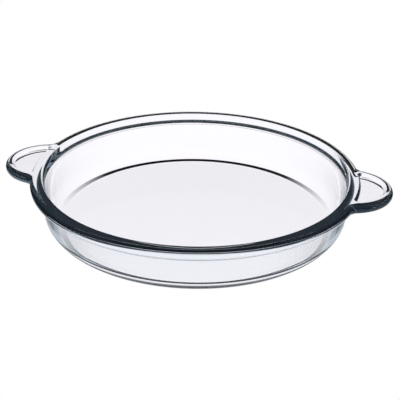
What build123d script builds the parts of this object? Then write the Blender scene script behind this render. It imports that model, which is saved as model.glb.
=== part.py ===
from build123d import *
import math
import os

# A round glass pie dish with two tab handles, pressed in one piece from clear glass.
# Its zones are separate solids that meet face to face: the base, the heel that curves up
# from it, the sloping wall, the rim, and the two handles that grow out of the rim.
# The base stands on z = 0, its centre is the origin and the handles lie along X.

# Dish
base_flat_radius = 103.1
dish_height = 42.4
floor_thickness = 5.6
wall_thickness = 5.4
heel_radius = 16.8
heel_inside_radius = 8.8
wall_draft_outside = 9.6
wall_draft_inside = 11.0

# Rim, a flange with a full round edge
rim_width = 10.3
rim_thickness = 8.5
rim_inner_rounding = 3.0
rim_underside_fillet = 2.8
rim_skirt = 5.0
edge_round_share = 0.49

# Handles
handle_reach = 24.4
handle_end_radius = 33.0
handle_blend_radius = 9.0
handle_bead_width = 5.8
web_recess = 2.6
web_inner_setback = 1.8
web_corner_radius = 3.0
web_wall_taper = 20.0
bead_crest_rounding = 1.3
web_foot_rounding = 0.9

# Worked out from the sizes above
edge_radius = edge_round_share * rim_thickness
rim_underside = dish_height - rim_thickness


def wall_direction(draft):
    """The way up a wall that leans out by its draft, in the XZ plane."""
    return Vector(math.sin(math.radians(draft)), 0, math.cos(math.radians(draft)))


def at_height(start, direction, height):
    """The point where a line through start reaches a height."""
    return start + direction * ((height - start.Z) / direction.Z)


# Directions in the section: up both faces of the wall, and square to it into the dish
up_outside = wall_direction(wall_draft_outside)
up_inside = wall_direction(wall_draft_inside)
into_dish = Vector(-up_outside.Z, 0, up_outside.X)

# Points of the section
heel_centre = Vector(base_flat_radius, 0, heel_radius)
wall_foot_outside = heel_centre - into_dish * heel_radius
wall_foot_inside = wall_foot_outside + into_dish * wall_thickness
floor_corner = at_height(wall_foot_inside, up_inside, floor_thickness)
underside_corner = at_height(wall_foot_outside, up_outside, rim_underside)
wall_head_outside = underside_corner - up_outside * rim_skirt
wall_head_inside = at_height(wall_foot_inside, up_inside, wall_head_outside.Z)
mouth_corner = at_height(wall_foot_inside, up_inside, dish_height)

# Plan sizes, which follow the mouth
rim_outer_radius = mouth_corner.X + rim_width
crest_radius = rim_outer_radius - edge_radius
handle_end_x = rim_outer_radius + handle_reach - handle_end_radius


def rounded_corner(before, corner, after, radius):
    """The arc that rounds one corner of an outline."""
    to_before = (before - corner).normalized()
    to_after = (after - corner).normalized()
    half_angle = math.radians(to_before.get_angle(to_after)) / 2
    bisector = (to_before + to_after).normalized()
    start = corner + to_before * (radius / math.tan(half_angle))
    end = corner + to_after * (radius / math.tan(half_angle))
    middle = corner + bisector * (radius / math.sin(half_angle) - radius)
    return ThreePointArc(start, middle, end)


def arc_about(centre, radius, from_direction, to_direction):
    """The shorter arc about a centre between two directions."""
    middle_direction = (from_direction + to_direction).normalized()
    start = centre + from_direction * radius
    middle = centre + middle_direction * radius
    end = centre + to_direction * radius
    return ThreePointArc(start, middle, end)


def turned(section):
    """The solid of revolution of a closed section about the dish's axis."""
    return revolve(make_face(section), Axis.Z)


def make_base():
    """The flat floor, out to where the heel starts to curve."""
    return extrude(Circle(base_flat_radius), floor_thickness)


def make_heel():
    """The corner ring between base and wall, rounded outside and inside."""
    outside = arc_about(heel_centre, heel_radius, Vector(0, 0, -1), -into_dish)
    floor_edge = Vector(base_flat_radius, 0, floor_thickness)
    inside = rounded_corner(wall_foot_inside, floor_corner, floor_edge, heel_inside_radius)
    section = [
        outside,
        Line(outside @ 1, wall_foot_inside),
        Line(wall_foot_inside, inside @ 0),
        inside,
        Line(inside @ 1, floor_edge),
        Line(floor_edge, outside @ 0),
    ]
    return turned(section)


def make_wall():
    """The sloping wall, from the heel to the skirt of the rim."""
    corners = [wall_foot_outside, wall_head_outside, wall_head_inside, wall_foot_inside]
    return turned(Polyline(*corners, close=True))


def make_rim_inside():
    """The rim from its mouth out to its crest, with the skirt that joins the wall."""
    crest_top = Vector(crest_radius, 0, dish_height)
    crest_bottom = Vector(crest_radius, 0, rim_underside)
    mouth = rounded_corner(wall_head_inside, mouth_corner, crest_top, rim_inner_rounding)
    throat = rounded_corner(crest_bottom, underside_corner, wall_head_outside, rim_underside_fillet)
    section = [
        Line(wall_head_inside, mouth @ 0),
        mouth,
        Line(mouth @ 1, crest_top),
        Line(crest_top, crest_bottom),
        Line(crest_bottom, throat @ 0),
        throat,
        Line(throat @ 1, wall_head_outside),
        Line(wall_head_outside, wall_head_inside),
    ]
    return turned(section)


# The blend between rim and handle, an arc that touches both rounds
blend_to_axis = rim_outer_radius + handle_blend_radius
blend_to_end = handle_end_radius + handle_blend_radius
blend_x = (blend_to_axis**2 - blend_to_end**2 + handle_end_x**2) / (2 * handle_end_x)
blend_centre = Vector(blend_x, math.sqrt(blend_to_axis**2 - blend_x**2))
handle_end_centre = Vector(handle_end_x, 0)
rim_tangent = blend_centre * (rim_outer_radius / blend_to_axis)
end_tangent = handle_end_centre + (blend_centre - handle_end_centre) * (handle_end_radius / blend_to_end)


def flipped(point, x_sign, y_sign):
    """A point of one quarter of the plan, taken to another quarter."""
    return Vector(point.X * x_sign, point.Y * y_sign)


def make_flange_plate():
    """The plan of rim and handles as one plate with a full round edge."""
    outline = []
    for x_sign in (1, -1):
        for y_sign in (1, -1):
            start = flipped(rim_tangent, x_sign, y_sign)
            end = flipped(end_tangent, x_sign, y_sign)
            middle_direction = (rim_tangent + end_tangent) / 2 - blend_centre
            middle = blend_centre + middle_direction.normalized() * handle_blend_radius
            outline.append(ThreePointArc(start, flipped(middle, x_sign, y_sign), end))
        tip = Vector((rim_outer_radius + handle_reach) * x_sign, 0)
        outline.append(ThreePointArc(flipped(end_tangent, x_sign, 1), tip, flipped(end_tangent, x_sign, -1)))
    for y_sign in (1, -1):
        side = Vector(0, rim_outer_radius * y_sign)
        outline.append(ThreePointArc(flipped(rim_tangent, 1, y_sign), side, flipped(rim_tangent, -1, y_sign)))
    plate = extrude(make_face(outline), rim_thickness)
    rims = plate.faces().sort_by(Axis.Z)[-1].edges() + plate.faces().sort_by(Axis.Z)[0].edges()
    return Pos(0, 0, rim_underside) * fillet(rims, edge_radius)


def make_handle_sectors():
    """The two wedges of the plan that hold the handles, out past their tips."""
    reach = rim_outer_radius + handle_reach + handle_end_radius
    ray = rim_tangent * (reach / rim_outer_radius)
    wedge = Polyline((0, 0), (ray.X, ray.Y), (ray.X, -ray.Y), close=True)
    right = Pos(0, 0, rim_underside) * extrude(make_face(wedge), rim_thickness)
    return right, Rot(0, 0, 180) * right


def make_web_pocket():
    """The shallow recess in a handle's top, which leaves a raised bead round the web."""
    bead_inside = Pos(handle_end_x, 0) * Circle(handle_end_radius - handle_bead_width)
    plan = bead_inside - Circle(rim_outer_radius - web_inner_setback)
    plan = fillet(plan.vertices(), web_corner_radius)
    pocket = extrude(plan, -web_recess, taper=web_wall_taper)
    foot = pocket.faces().sort_by(Axis.Z)[0].edges()
    return Pos(0, 0, dish_height) * fillet(foot, web_foot_rounding)


def make_handle(plate, sector, core):
    """The right handle: its part of the plate, less the recess, with a rounded bead."""
    blank = (plate & sector) - core
    recessed = blank - make_web_pocket()
    top = recessed.faces().filter_by(Axis.Z).sort_by(Axis.Z)[-1]
    return fillet(top.inner_wires()[0].edges(), bead_crest_rounding)


def make_parts():
    """Every zone of the dish by name."""
    plate = make_flange_plate()
    right_sector, left_sector = make_handle_sectors()
    core = Pos(0, 0, rim_underside) * extrude(Circle(crest_radius), rim_thickness)
    handle = make_handle(plate, right_sector, core)
    rim_edge = plate - core - right_sector - left_sector
    return {
        "base": make_base(),
        "heel": make_heel(),
        "wall": make_wall(),
        "rim": make_rim_inside() + rim_edge,
        "handle_right": handle,
        "handle_left": Rot(0, 0, 180) * handle,
    }


os.makedirs("parts", exist_ok=True)
for name, solid in make_parts().items():
    solid.label = name
    export_step(solid, f"parts/{name}.step")
    print(name, round(solid.volume), "mm3")
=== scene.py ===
import math

import bmesh
import bpy
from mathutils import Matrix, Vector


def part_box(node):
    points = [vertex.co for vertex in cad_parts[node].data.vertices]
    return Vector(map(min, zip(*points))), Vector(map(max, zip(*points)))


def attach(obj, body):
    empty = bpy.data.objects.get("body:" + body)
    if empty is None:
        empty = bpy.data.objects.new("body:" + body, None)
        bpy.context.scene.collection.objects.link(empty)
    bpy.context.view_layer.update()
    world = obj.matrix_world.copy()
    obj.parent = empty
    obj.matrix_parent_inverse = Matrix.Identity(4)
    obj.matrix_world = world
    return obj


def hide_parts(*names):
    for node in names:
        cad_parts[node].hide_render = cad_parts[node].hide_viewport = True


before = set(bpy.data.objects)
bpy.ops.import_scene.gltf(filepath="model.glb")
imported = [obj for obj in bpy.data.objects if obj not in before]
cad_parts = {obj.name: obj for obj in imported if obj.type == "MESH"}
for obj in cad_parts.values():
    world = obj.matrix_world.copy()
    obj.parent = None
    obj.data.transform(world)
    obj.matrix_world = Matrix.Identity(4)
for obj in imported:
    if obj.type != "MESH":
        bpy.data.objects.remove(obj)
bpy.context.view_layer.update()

# A round glass pie dish with two tab handles, one pressing of clear glass on a white floor.
# Sizes are in metres, in the frame of the CAD model: the base stands on z = 0 and the
# handles lie along X. Each size has the name and the value that the CAD source gives it.

DISH_SIZES = {
    "Base Flat Radius": 0.1031,
    "Dish Height": 0.0424,
    "Floor Thickness": 0.0056,
    "Wall Thickness": 0.0054,
    "Heel Radius": 0.0168,
    "Heel Inside Radius": 0.0088,
    "Wall Draft Outside": math.radians(9.6),
    "Wall Draft Inside": math.radians(11.0),
    "Rim Width": 0.0103,
    "Rim Thickness": 0.0085,
    "Rim Inner Rounding": 0.0030,
    "Rim Underside Fillet": 0.0028,
    "Edge Round Share": 0.49,
    "Handle Reach": 0.0244,
    "Handle End Radius": 0.0330,
    "Handle Blend Radius": 0.0090,
    "Handle Bead Width": 0.0058,
    "Web Recess": 0.0026,
    "Web Inner Setback": 0.0018,
    "Web Corner Radius": 0.0030,
    "Web Wall Taper": math.radians(20.0),
    "Bead Crest Rounding": 0.0013,
    "Web Foot Rounding": 0.0009,
}

# How finely the form is divided, and how near points and levels count as one
FACES_ROUND_THE_DISH = 512
FACES_ROUND_A_BEND = 20
FACES_ROUND_THE_EDGE = 18
FACES_IN_A_BEAD_BEND = 7
OUTLINE_STEP = 0.0012
POCKET_STEP = 0.0007
WELD_DISTANCE = 2e-6
LEVEL_TOLERANCE = 2e-5
EVEN_WEIGHT = 50


class Wire:
    """One output of a node. Arithmetic on it adds Math nodes to the same tree."""

    def __init__(self, tree, socket):
        self.tree = tree
        self.socket = socket

    def __add__(self, other):
        return self.tree.maths("ADD", self, other)

    def __radd__(self, other):
        return self.tree.maths("ADD", other, self)

    def __sub__(self, other):
        return self.tree.maths("SUBTRACT", self, other)

    def __rsub__(self, other):
        return self.tree.maths("SUBTRACT", other, self)

    def __mul__(self, other):
        return self.tree.maths("MULTIPLY", self, other)

    def __rmul__(self, other):
        return self.tree.maths("MULTIPLY", other, self)

    def __truediv__(self, other):
        return self.tree.maths("DIVIDE", self, other)

    def __rtruediv__(self, other):
        return self.tree.maths("DIVIDE", other, self)

    def __neg__(self):
        return self.tree.maths("MULTIPLY", self, -1.0)

    def __gt__(self, other):
        return self.tree.maths("GREATER_THAN", self, other)

    def __lt__(self, other):
        return self.tree.maths("LESS_THAN", self, other)

    def at_least(self, other):
        return self.tree.maths("MAXIMUM", self, other)

    def rounded_up(self):
        return self.tree.maths("CEIL", self)

    def squared(self):
        return self.tree.maths("MULTIPLY", self, self)

    def root(self):
        return self.tree.maths("SQRT", self)

    def size(self):
        return self.tree.maths("ABSOLUTE", self)

    def sine(self):
        return self.tree.maths("SINE", self)

    def cosine(self):
        return self.tree.maths("COSINE", self)

    def tangent(self):
        return self.tree.maths("TANGENT", self)

    def bearing(self, x):
        """The angle of the direction (x, self)."""
        return self.tree.maths("ARCTAN2", self, x)


class Outputs:
    """The outputs of one node, by name or number."""

    def __init__(self, tree, sockets):
        self.tree = tree
        self.sockets = sockets

    def __getitem__(self, key):
        return Wire(self.tree, self.sockets[key])


class Tree:
    """A node tree that is filled by calls."""

    def __init__(self, tree):
        self.tree = tree

    def node(self, kind, settings=None, values=None):
        """Adds a node with its settings, then the values or links of its sockets."""
        made = self.tree.nodes.new(kind)
        for name, value in (settings or {}).items():
            if name == "stops":
                self.set_stops(made.color_ramp, value)
            elif name == "items":
                self.set_items(made, value)
            else:
                setattr(made, name, value)
        for key, value in (values or {}).items():
            for each in value if isinstance(value, list) else [value]:
                if isinstance(each, Wire):
                    self.tree.links.new(each.socket, made.inputs[key])
                else:
                    made.inputs[key].default_value = each
        return Outputs(self, made.outputs)

    def set_stops(self, ramp, stops):
        while len(ramp.elements) < len(stops):
            ramp.elements.new(1.0)
        for element, (position, colour) in zip(ramp.elements, stops):
            element.position = position
            element.color = colour

    def set_items(self, switch, count):
        while len(switch.index_switch_items) < count:
            switch.index_switch_items.new()

    def maths(self, operation, *values):
        return self.node("ShaderNodeMath", {"operation": operation}, dict(enumerate(values)))[0]

    def mixed(self, share, low, high):
        """The colour low, or high where the share is one."""
        return self.node("ShaderNodeMix", {"data_type": "RGBA"}, {0: share, 6: low, 7: high})[2]

    def ramp(self, stops, tint, place):
        """A tint at the levels that the stops give along a line from 0 to 1."""
        colours = [(share, tinted(tint, level)) for share, level in stops]
        return self.node("ShaderNodeValToRGB", {"stops": colours}, {"Fac": place})["Color"]

    def height_of(self, place):
        return self.node("ShaderNodeSeparateXYZ", None, {0: place})[2]

    def choice(self, kind, options):
        """The option whose number is the point's own index."""
        index = self.node("GeometryNodeInputIndex")[0]
        settings = {"data_type": kind, "items": len(options)}
        values = {number + 1: option for number, option in enumerate(options)}
        return self.node("GeometryNodeIndexSwitch", settings, {0: index, **values})[0]

    def point(self, x, y, z=0.0):
        return self.node("ShaderNodeCombineXYZ", None, {0: x, 1: y, 2: z})[0]

    def joined(self, *geometries):
        """Several geometries as one."""
        return self.node("GeometryNodeJoinGeometry", None, {0: list(geometries)})[0]

    def welded(self, mesh):
        values = {"Geometry": mesh, "Distance": WELD_DISTANCE}
        return self.node("GeometryNodeMergeByDistance", None, values)[0]

    def moved(self, geometry, shift=(0.0, 0.0, 0.0), turn=(0.0, 0.0, 0.0)):
        values = {"Geometry": geometry, "Translation": shift, "Rotation": turn}
        return self.node("GeometryNodeTransform", None, values)[0]

    def profile(self, corners, radii, bend_faces):
        """A section line through corners given as (out, up), each rounded by its radius."""
        places = [self.point(out, -up) for out, up in corners]
        spread = {"Count": len(corners), "Position": self.choice("VECTOR", places)}
        points = self.node("GeometryNodePoints", None, spread)[0]
        line = self.node("GeometryNodePointsToCurves", None, {"Points": points})[0]
        bends = {"Count": bend_faces, "Radius": self.choice("FLOAT", radii)}
        values = {"Curve": line, "Limit Radius": True, **bends}
        return self.node("GeometryNodeFilletCurve", {"mode": "POLY"}, values)[0]

    def swept(self, path, profile):
        values = {"Curve": path, "Profile Curve": profile}
        return self.node("GeometryNodeCurveToMesh", None, values)[0]

    def arc(self, centre, radius, start, sweep, step):
        """An arc about a centre, with points about one step apart."""
        count = (sweep * radius / step).rounded_up() + 2.0
        values = {"Resolution": count, "Radius": radius, "Start Angle": start, "Sweep Angle": sweep}
        arc = self.node("GeometryNodeCurveArc", {"mode": "RADIUS"}, values)["Curve"]
        return self.moved(arc, centre)

    def loop(self, *arcs):
        """One closed line from arcs that meet end to end."""
        edges = self.node("GeometryNodeCurveToMesh", None, {"Curve": self.joined(*arcs)})[0]
        return self.node("GeometryNodeMeshToCurve", None, {"Mesh": self.welded(edges)})[0]

    def turned_round(self, line):
        """The same line run the other way, so that a section on it points outwards."""
        return self.node("GeometryNodeReverseCurve", None, {"Curve": line})[0]

    def flat(self, sheets, height):
        """The flat face that fills the open edges of the sheets at one height."""
        neighbours = self.node("GeometryNodeInputMeshEdgeNeighbors")[0]
        z = self.height_of(self.node("GeometryNodeInputPosition")[0])
        level = (z - height).size() < LEVEL_TOLERANCE
        bare = neighbours < 1.5
        chosen = {"Mesh": sheets, "Selection": level * bare}
        edges = self.node("GeometryNodeMeshToCurve", None, chosen)[0]
        filled = self.node("GeometryNodeFillCurve", {"mode": "TRIANGLES"}, {"Curve": edges})[0]
        return self.moved(filled, self.point(0.0, 0.0, height))


def tinted(tint, level):
    """An opaque colour: the tint at a level of brightness."""
    return (*[part * level for part in tint], 1.0)


def new_geometry_tree(name, sizes):
    """A Geometry Nodes tree with one named input for each size, and those inputs as wires."""
    group = bpy.data.node_groups.new(name, "GeometryNodeTree")
    group.interface.new_socket(name="Geometry", in_out="OUTPUT", socket_type="NodeSocketGeometry")
    for size in sizes:
        group.interface.new_socket(name=size, in_out="INPUT", socket_type="NodeSocketFloat")
    tree = Tree(group)
    given = tree.node("NodeGroupInput")
    return tree, {size: given[size] for size in sizes}


def bridging_arc(end_x, axis_reach, end_reach):
    """Where a round between two circles has its centre, from its distances to both centres."""
    x = (axis_reach.squared() - end_reach.squared() + end_x.squared()) / (end_x * 2.0)
    y = (axis_reach.squared() - x.squared()).root()
    return x, y


def dish_tree(glass):
    """The dish as one closed sheet of glass: turned inside and outside, a full round edge
    along the outline of rim and handles, a recessed web in each handle, and flats between."""
    tree, size = new_geometry_tree("pie_dish", DISH_SIZES)
    height, floor, heel = size["Dish Height"], size["Floor Thickness"], size["Heel Radius"]
    draft, flat_radius = size["Wall Draft Outside"], size["Base Flat Radius"]
    inside_slope = size["Wall Draft Inside"].tangent()
    heel_share = (1.0 - draft.sine()) / draft.cosine()
    edge = size["Rim Thickness"] * size["Edge Round Share"]
    underside = height - size["Rim Thickness"]

    # Section points, as distance from the axis
    foot_outside = flat_radius + heel * heel_share
    inside_reach = heel - size["Wall Thickness"]
    wall_foot_x = flat_radius + inside_reach * draft.cosine()
    wall_foot_z = heel - inside_reach * draft.sine()
    foot_inside = wall_foot_x - (wall_foot_z - floor) * inside_slope
    mouth = wall_foot_x + (height - wall_foot_z) * inside_slope
    throat = foot_outside + underside * draft.tangent()
    rim_radius = mouth + size["Rim Width"]
    crest = rim_radius - edge
    mouth_turn = (math.pi / 4.0 - size["Wall Draft Inside"] / 2.0).tangent()
    mouth_run = size["Rim Inner Rounding"] * mouth_turn
    throat_run = size["Rim Underside Fillet"] * (math.pi / 4.0 - draft / 2.0).tangent()

    circle = {"Resolution": FACES_ROUND_THE_DISH, "Radius": flat_radius}
    round_path = tree.node("GeometryNodeCurvePrimitiveCircle", {"mode": "RADIUS"}, circle)[0]
    inside_corners = [
        (-flat_radius, floor),
        (foot_inside - flat_radius, floor),
        (mouth - flat_radius, height),
        (mouth - flat_radius + mouth_run, height),
    ]
    inside_radii = [0.0, size["Heel Inside Radius"], size["Rim Inner Rounding"], 0.0]
    inside = tree.profile(inside_corners, inside_radii, FACES_ROUND_A_BEND)
    outside_corners = [
        (-flat_radius, 0.0),
        (foot_outside - flat_radius, 0.0),
        (throat - flat_radius, underside),
        (throat - flat_radius + throat_run, underside),
    ]
    outside_radii = [0.0, heel, size["Rim Underside Fillet"], 0.0]
    outside = tree.profile(outside_corners, outside_radii, FACES_ROUND_A_BEND)
    turned = tree.joined(tree.swept(round_path, inside), tree.swept(round_path, outside))

    # The outline of rim and handles, along the crest of its round edge
    end_radius = size["Handle End Radius"]
    end_x = rim_radius + size["Handle Reach"] - end_radius
    blend = size["Handle Blend Radius"]
    blend_x, blend_y = bridging_arc(end_x, rim_radius + blend, end_radius + blend)
    rim_bearing = blend_y.bearing(blend_x)
    end_bearing = blend_y.bearing(blend_x - end_x)
    origin = (0.0, 0.0, 0.0)
    end_centre = tree.point(end_x, 0.0)
    blend_sweep = end_bearing - rim_bearing
    upper_blend, lower_blend = tree.point(blend_x, blend_y), tree.point(blend_x, -blend_y)
    upper_start, lower_start = math.pi + rim_bearing, math.pi - end_bearing
    rim_sweep = math.pi - 2.0 * rim_bearing
    half_outline = tree.joined(
        tree.arc(origin, crest, rim_bearing, rim_sweep, OUTLINE_STEP),
        tree.arc(end_centre, end_radius - edge, -end_bearing, 2.0 * end_bearing, OUTLINE_STEP),
        tree.arc(upper_blend, blend + edge, upper_start, blend_sweep, OUTLINE_STEP),
        tree.arc(lower_blend, blend + edge, lower_start, blend_sweep, OUTLINE_STEP),
    )
    outline = tree.loop(half_outline, tree.moved(half_outline, turn=(0.0, 0.0, math.pi)))
    edge_corners = [(0.0, height), (edge, height), (edge, underside), (0.0, underside)]
    edge_profile = tree.profile(edge_corners, [0.0, edge, edge, 0.0], FACES_ROUND_THE_EDGE)
    round_edge = tree.swept(tree.turned_round(outline), edge_profile)

    # The web's recess: its outline in plan, then its wall from the bead's crest to the foot
    corner = size["Web Corner Radius"]
    bead_inside = end_radius - size["Handle Bead Width"]
    inner_border = rim_radius - size["Web Inner Setback"]
    corner_x, corner_y = bridging_arc(end_x, inner_border + corner, bead_inside - corner)
    border_bearing = corner_y.bearing(corner_x)
    bead_bearing = corner_y.bearing(corner_x - end_x)
    corner_sweep = math.pi + border_bearing - bead_bearing
    upper_corner, lower_corner = tree.point(corner_x, corner_y), tree.point(corner_x, -corner_y)
    lower_start = math.pi - border_bearing
    pocket_outline = tree.loop(
        tree.arc(end_centre, bead_inside, -bead_bearing, 2.0 * bead_bearing, POCKET_STEP),
        tree.arc(origin, inner_border, -border_bearing, 2.0 * border_bearing, POCKET_STEP),
        tree.arc(upper_corner, corner, bead_bearing, corner_sweep, POCKET_STEP),
        tree.arc(lower_corner, corner, lower_start, corner_sweep, POCKET_STEP),
    )
    recess = size["Web Recess"]
    run_in = recess * size["Web Wall Taper"].tangent()
    half_turn = (math.pi / 4.0 - size["Web Wall Taper"] / 2.0).tangent()
    crest_run = size["Bead Crest Rounding"] * half_turn
    foot_run = size["Web Foot Rounding"] * half_turn
    pocket_corners = [
        (crest_run, height),
        (0.0, height),
        (-run_in, height - recess),
        (-run_in - foot_run, height - recess),
    ]
    pocket_radii = [0.0, size["Bead Crest Rounding"], size["Web Foot Rounding"], 0.0]
    pocket_profile = tree.profile(pocket_corners, pocket_radii, FACES_IN_A_BEAD_BEND)
    pocket = tree.swept(pocket_outline, pocket_profile)
    pockets = tree.joined(pocket, tree.moved(pocket, turn=(0.0, 0.0, math.pi)))

    sheets = tree.welded(tree.joined(turned, round_edge, pockets))
    levels = (height, underside, height - recess)
    flats = tree.joined(*[tree.flat(sheets, level) for level in levels])
    whole = tree.welded(tree.joined(sheets, flats))
    smooth = tree.node("GeometryNodeSetShadeSmooth", None, {"Geometry": whole})[0]
    real = tree.node("GeometryNodeRealizeInstances", None, {"Geometry": smooth})[0]
    coated = {"Geometry": real, "Material": glass}
    finished = tree.node("GeometryNodeSetMaterial", None, coated)[0]
    tree.node("NodeGroupOutput", None, {0: finished})
    return tree.tree


def plain_mesh(name, group, sizes):
    """The tree's result as a plain mesh object, with its faces turned outwards."""
    holder = bpy.data.objects.new(name, bpy.data.meshes.new(name))
    bpy.context.scene.collection.objects.link(holder)
    modifier = holder.modifiers.new("form", "NODES")
    modifier.node_group = group
    for socket in group.interface.items_tree:
        if socket.in_out == "INPUT":
            modifier[socket.identifier] = sizes[socket.name]
    graph = bpy.context.evaluated_depsgraph_get()
    mesh = bpy.data.meshes.new_from_object(holder.evaluated_get(graph))
    holder.modifiers.remove(modifier)
    faces = bmesh.new()
    faces.from_mesh(mesh)
    bmesh.ops.recalc_face_normals(faces, faces=faces.faces)
    faces.to_mesh(mesh)
    faces.free()
    holder.data = mesh
    return holder


def steadied(piece):
    """Corner normals weighted by face area, so that flats stay flat up to their rounded edges."""
    modifier = piece.modifiers.new("steady", "WEIGHTED_NORMAL")
    modifier.mode = "FACE_AREA"
    modifier.weight = EVEN_WEIGHT
    graph = bpy.context.evaluated_depsgraph_get()
    mesh = bpy.data.meshes.new_from_object(piece.evaluated_get(graph))
    piece.modifiers.remove(modifier)
    piece.data = mesh
    return piece


# Finishes

GLASS_IOR = 1.474
GLASS_TINT = (1.0, 1.0, 1.0, 1.0)
WAVE_SCALE = 28.0
WAVE_DETAIL = 1.0
WAVE_STRENGTH = 0.02
WAVE_HEIGHT = 0.001
# Over a long way the glass takes a teal tint, and its inside shines with a faint painted glow that
# lifts its dark parts
GLASS_DEPTH_TINT = (0.35, 0.66, 0.82, 1.0)
GLASS_DEPTH_DENSITY = 9.0
GLASS_PAINTED_GLOW = (0.9, 1.05, 1.25, 1.0)
GLASS_PAINTED_GLOW_STRENGTH = 0.08


def new_material(name):
    """A material with an empty node tree, and that tree."""
    material = bpy.data.materials.new(name)
    material.use_nodes = True
    material.node_tree.nodes.clear()
    return material, Tree(material.node_tree)


def clear_glass():
    """Pressed clear glass with a slow unevenness in its surface, a teal tint in depth and a faint
    painted glow inside.
    """
    material, tree = new_material("clear_glass")
    place = tree.node("ShaderNodeTexCoord")["Object"]
    waviness = {"Vector": place, "Scale": WAVE_SCALE, "Detail": WAVE_DETAIL}
    waves = tree.node("ShaderNodeTexNoise", None, waviness)[0]
    relief = {"Strength": WAVE_STRENGTH, "Distance": WAVE_HEIGHT, "Height": waves}
    values = {
        "Base Color": GLASS_TINT,
        "Roughness": 0.0,
        "IOR": GLASS_IOR,
        "Transmission Weight": 1.0,
        "Normal": tree.node("ShaderNodeBump", None, relief)[0],
    }
    surface = tree.node("ShaderNodeBsdfPrincipled", None, values)[0]
    depth = {"Color": GLASS_DEPTH_TINT, "Density": GLASS_DEPTH_DENSITY}
    absorbing = tree.node("ShaderNodeVolumeAbsorption", None, depth)[0]
    # Painted glow: the glass volume shines faintly with its own light, which lightens its darkest
    # parts
    painted_glow = {"Color": GLASS_PAINTED_GLOW, "Strength": GLASS_PAINTED_GLOW_STRENGTH}
    painted_glow_shader = tree.node("ShaderNodeEmission", None, painted_glow)[0]
    volume = tree.node("ShaderNodeAddShader", None, {0: absorbing, 1: painted_glow_shader})[0]
    tree.node("ShaderNodeOutputMaterial", None, {"Surface": surface, "Volume": volume})
    return material


glass = clear_glass()
dish = steadied(plain_mesh("glass_dish", dish_tree(glass), DISH_SIZES))
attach(dish, "root")
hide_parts("base", "heel", "wall", "rim", "handle_right", "handle_left")

# Floor, card, light and camera

WHITE = (1.0, 1.0, 1.0, 1.0)
BLACK = (0.0, 0.0, 0.0, 1.0)
FLOOR_HALF_SIZE = 6.0
FLOOR_HEIGHT = -0.0003

# The light's axis, turned from the dish's Y axis by this many degrees
LIGHT_TURN = 9.97

# A black card under the rim's outer edge, which the camera sees only through the glass: painted
# shade that darkens the rim's outer edge in the glass.
# Its offsets from the outline in plan differ along the light's axis and beside it.
CARD_HEIGHT = 0.030
CARD_INSIDE = 0.0012
CARD_OUTSIDE = 0.0030
CARD_INSIDE_AT_SIDES = -0.0036
CARD_OUTSIDE_AT_SIDES = -0.0012
CARD_SEGMENTS = 480

# The floor round the foot of the dish, as the glass sees it: brightness by distance from the axis,
# with a painted contact shadow band under the heel for light that goes straight through the heel,
# and a painted bright band for light turned back inside it
FOOT_RING_HEIGHT = -0.0002
FOOT_RING_INSIDE = 0.1015
FOOT_RING_OUTSIDE = 0.1180
FOOT_RING_SEGMENTS = 240
FOOT_RING_SHIFT = 0.0005
FOOT_STRAIGHT_SHADOW_AND_LIGHT = [(0.1058, 1.07), (0.1062, 0.0), (0.1116, 0.0), (0.1121, 1.07)]
FOOT_TURNED_PAINTED_LIGHT = [(0.1078, 0.25), (0.1090, 1.0), (0.1130, 1.0), (0.1136, 0.0)]
# Its painted shadow line fades out beside the light's axis, and is full from this share of the way
FOOT_SHADOW_FULL_SHARE = 0.7

# Brightness of the studio by elevation in degrees, for light that goes straight through the
# glass, for light that the glass has turned back once inside itself, and for more turns
STRAIGHT_LIGHT = [
    (-90.0, 1.07),
    (-40.0, 1.07),
    (0.0, 1.08),
    (6.0, 0.0),
    (16.0, 0.0),
    (24.0, 1.05),
    (90.0, 1.05),
]
TURNED_LIGHT = [
    (-86.0, 0.0),
    (-76.0, 0.3),
    (-62.0, 0.6),
    (-46.0, 0.75),
    (-42.0, 0.2),
    (-39.0, 0.3),
    (-35.0, 0.65),
    (-23.0, 0.5),
    (-18.0, 0.0),
    (14.0, 0.0),
    (20.0, 0.12),
    (34.0, 0.12),
    (40.0, 0.25),
    (54.0, 0.25),
    (62.0, 0.0),
]
TWICE_TURNED_LIGHT = [
    (-90.0, 0.08),
    (-70.0, 0.15),
    (-40.0, 0.2),
    (-20.0, 0.3),
    (-5.0, 0.35),
    (5.0, 0.15),
    (25.0, 0.04),
    (40.0, 0.02),
    (60.0, 0.0),
]
LIGHT_TINT = (1.02, 0.99, 1.03)
TURNED_TINT = (0.93, 1.0, 1.09)
TWICE_TURNED_TINT = (0.78, 1.0, 1.24)

# Light counts as turned when it has had more inner reflections than these
ONE_TURN = 0.5
TWO_TURNS = 1.5


def staged_sheet(name, points, faces, material):
    """A thin sheet of the studio that glass doesn't mirror."""
    mesh = bpy.data.meshes.new(name)
    mesh.from_pydata(points, [], faces)
    mesh.materials.append(material)
    sheet = bpy.data.objects.new(name, mesh)
    bpy.context.scene.collection.objects.link(sheet)
    sheet.visible_glossy = False
    return sheet


def ring_faces(count):
    """The faces of a ring whose points come in pairs, inside and outside."""
    return [(i, i + 1, (i + 3) % count, (i + 2) % count) for i in range(0, count, 2)]


def shining(tree, colour):
    """Ends a material's tree with plain light of one colour."""
    shine = tree.node("ShaderNodeEmission", None, {"Color": colour, "Strength": 1.0})[0]
    tree.node("ShaderNodeOutputMaterial", None, {"Surface": shine})


def white_floor():
    """The white floor that the camera sees, but the glass doesn't."""
    material, tree = new_material("white_floor")
    shining(tree, WHITE)
    corners = [(-1, -1), (1, -1), (1, 1), (-1, 1)]
    points = [(x * FLOOR_HALF_SIZE, y * FLOOR_HALF_SIZE, FLOOR_HEIGHT) for x, y in corners]
    floor = staged_sheet("floor", points, [(0, 1, 2, 3)], material)
    floor.visible_transmission = False


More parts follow.
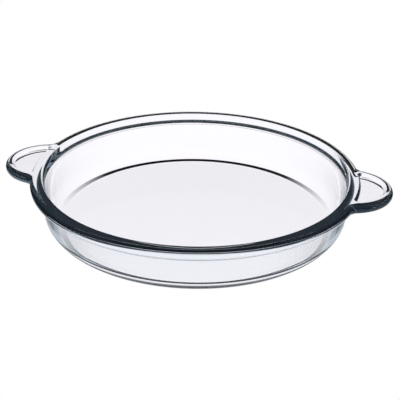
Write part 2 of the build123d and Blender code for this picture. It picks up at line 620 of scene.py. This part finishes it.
def plan_reach(angle, rim_radius, end_x, end_radius):
    """How far rim and handles reach from the dish's axis at an angle from the X axis."""
    across = end_x * math.sin(angle)
    if abs(across) >= end_radius:
        return rim_radius
    along = end_x * abs(math.cos(angle))
    return max(rim_radius, along + math.sqrt(end_radius**2 - across**2))


def plan_outline(count):
    """Points round the outline of rim and handles, in plan."""
    rim_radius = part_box("rim")[1][1]
    end_radius = DISH_SIZES["Handle End Radius"]
    end_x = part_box("handle_right")[1][0] - end_radius
    outline = []
    for step in range(count):
        angle = 2.0 * math.pi * step / count
        reach = plan_reach(angle, rim_radius, end_x, end_radius)
        outline.append((reach * math.cos(angle), reach * math.sin(angle)))
    return outline


def painted_shade_card():
    """A black card along the outline, seen only through the glass: painted shade along the rim's
    outer edge.
    """
    material, tree = new_material("painted_shade_card")
    cloth = tree.node("ShaderNodeBsdfDiffuse", None, {"Color": BLACK})[0]
    tree.node("ShaderNodeOutputMaterial", None, {"Surface": cloth})
    outline = plan_outline(CARD_SEGMENTS)
    points = []
    for step, (x, y) in enumerate(outline):
        next_x, next_y = outline[(step + 1) % CARD_SEGMENTS]
        last_x, last_y = outline[step - 1]
        outwards = math.atan2(last_x - next_x, next_y - last_y)
        aside = math.cos(outwards - math.radians(LIGHT_TURN)) ** 2
        inside = CARD_INSIDE + (CARD_INSIDE_AT_SIDES - CARD_INSIDE) * aside
        outside = CARD_OUTSIDE + (CARD_OUTSIDE_AT_SIDES - CARD_OUTSIDE) * aside
        for offset in (inside, outside):
            across = offset * math.cos(outwards)
            along = offset * math.sin(outwards)
            points.append((x + across, y + along, CARD_HEIGHT))
    # Painted shade: this black sheet is seen only through the glass, where it darkens the rim's
    # outer edge
    card = staged_sheet("painted_shade_card", points, ring_faces(len(points)), material)
    card.visible_camera = False


def ring_share(distance):
    """How far a distance from the axis lies across the ring round the foot."""
    return (distance - FOOT_RING_INSIDE) / (FOOT_RING_OUTSIDE - FOOT_RING_INSIDE)


def light_by_distance(tree, distance, light):
    """A ramp over the distance from the axis."""
    stops = [(ring_share(reach), level) for reach, level in light]
    return tree.ramp(stops, LIGHT_TINT, ring_share(distance))


def foot_shadow_and_light_ring():
    """The ring of floor round the foot, seen only through the glass, with a painted contact shadow
    and a painted bright band.
    """
    material, tree = new_material("foot_shadow_and_light_ring")
    place = tree.node("ShaderNodeTexCoord")["Object"]
    distance = tree.node("ShaderNodeVectorMath", {"operation": "LENGTH"}, {0: place})["Value"]
    y = tree.node("ShaderNodeSeparateXYZ", None, {0: place})[1]
    fade = (y / distance / FOOT_SHADOW_FULL_SHARE).squared()
    plain = tinted(LIGHT_TINT, FOOT_STRAIGHT_SHADOW_AND_LIGHT[0][1])
    # Painted contact shadow under the heel, fading out beside the light's axis
    line = tree.mixed(fade, plain, light_by_distance(tree, distance, FOOT_STRAIGHT_SHADOW_AND_LIGHT))
    turned = tree.node("ShaderNodeLightPath")["Glossy Depth"] > ONE_TURN
    # Painted bright band, for light that the heel turns back inside itself
    turned_light = light_by_distance(tree, distance, FOOT_TURNED_PAINTED_LIGHT)
    shining(tree, tree.mixed(turned, line, turned_light))
    points = []
    for step in range(FOOT_RING_SEGMENTS):
        angle = 2.0 * math.pi * step / FOOT_RING_SEGMENTS
        for reach in (FOOT_RING_INSIDE, FOOT_RING_OUTSIDE):
            points.append((reach * math.cos(angle), reach * math.sin(angle), FOOT_RING_HEIGHT))
    ring = staged_sheet("foot_shadow_and_light_ring", points, ring_faces(len(points)), material)
    turn = math.radians(LIGHT_TURN)
    ring.rotation_euler = (0.0, 0.0, turn)
    ring.location = (-FOOT_RING_SHIFT * math.sin(turn), FOOT_RING_SHIFT * math.cos(turn), 0.0)
    ring.visible_camera = False


def light_by_elevation(tree, rise, light, tint):
    """A ramp over the sine of the elevation."""
    stops = [(math.sin(math.radians(angle)) * 0.5 + 0.5, level) for angle, level in light]
    return tree.ramp(stops, tint, rise * 0.5 + 0.5)


def studio():
    """A white studio for the camera. The glass sees bands of soft light in it."""
    world = bpy.data.worlds.new("studio")
    world.use_nodes = True
    world.node_tree.nodes.clear()
    tree = Tree(world.node_tree)
    rise = tree.height_of(tree.node("ShaderNodeTexCoord")["Generated"])
    path = tree.node("ShaderNodeLightPath")
    seen = light_by_elevation(tree, rise, STRAIGHT_LIGHT, LIGHT_TINT)
    once = light_by_elevation(tree, rise, TURNED_LIGHT, TURNED_TINT)
    twice = light_by_elevation(tree, rise, TWICE_TURNED_LIGHT, TWICE_TURNED_TINT)
    seen = tree.mixed(path["Glossy Depth"] > ONE_TURN, seen, once)
    seen = tree.mixed(path["Glossy Depth"] > TWO_TURNS, seen, twice)
    # Past two turns, the light falls off with the square of their number
    strength = 1.0 / (path["Glossy Depth"] / 2.0).at_least(1.0).squared()
    colour = tree.mixed(path["Is Camera Ray"], seen, WHITE)
    light = tree.node("ShaderNodeBackground", None, {"Color": colour, "Strength": strength})[0]
    tree.node("ShaderNodeOutputWorld", None, {"Surface": light})
    bpy.context.scene.world = world


white_floor()
painted_shade_card()
foot_shadow_and_light_ring()
studio()

CAMERA_PLACE = (0.14254, -0.82523, 0.43502)
CAMERA_TURN = (63.534, -0.837, 9.967)
CAMERA_LENS = 105.57
CAMERA_SENSOR_WIDTH = 36.0


def place_camera():
    lens = bpy.data.cameras.new("camera")
    lens.lens = CAMERA_LENS
    lens.sensor_width = CAMERA_SENSOR_WIDTH
    camera = bpy.data.objects.new("camera", lens)
    camera.location = CAMERA_PLACE
    camera.rotation_euler = [math.radians(angle) for angle in CAMERA_TURN]
    bpy.context.scene.collection.objects.link(camera)
    bpy.context.scene.camera = camera


place_camera()

# Light takes many turns inside clear glass
MOST_TURNS = 32
MOST_REFLECTIONS = 16

scene = bpy.context.scene
scene.view_settings.view_transform = "Standard"
scene.cycles.max_bounces = MOST_TURNS
scene.cycles.transmission_bounces = MOST_TURNS
scene.cycles.glossy_bounces = MOST_REFLECTIONS
scene.cycles.use_denoising = True
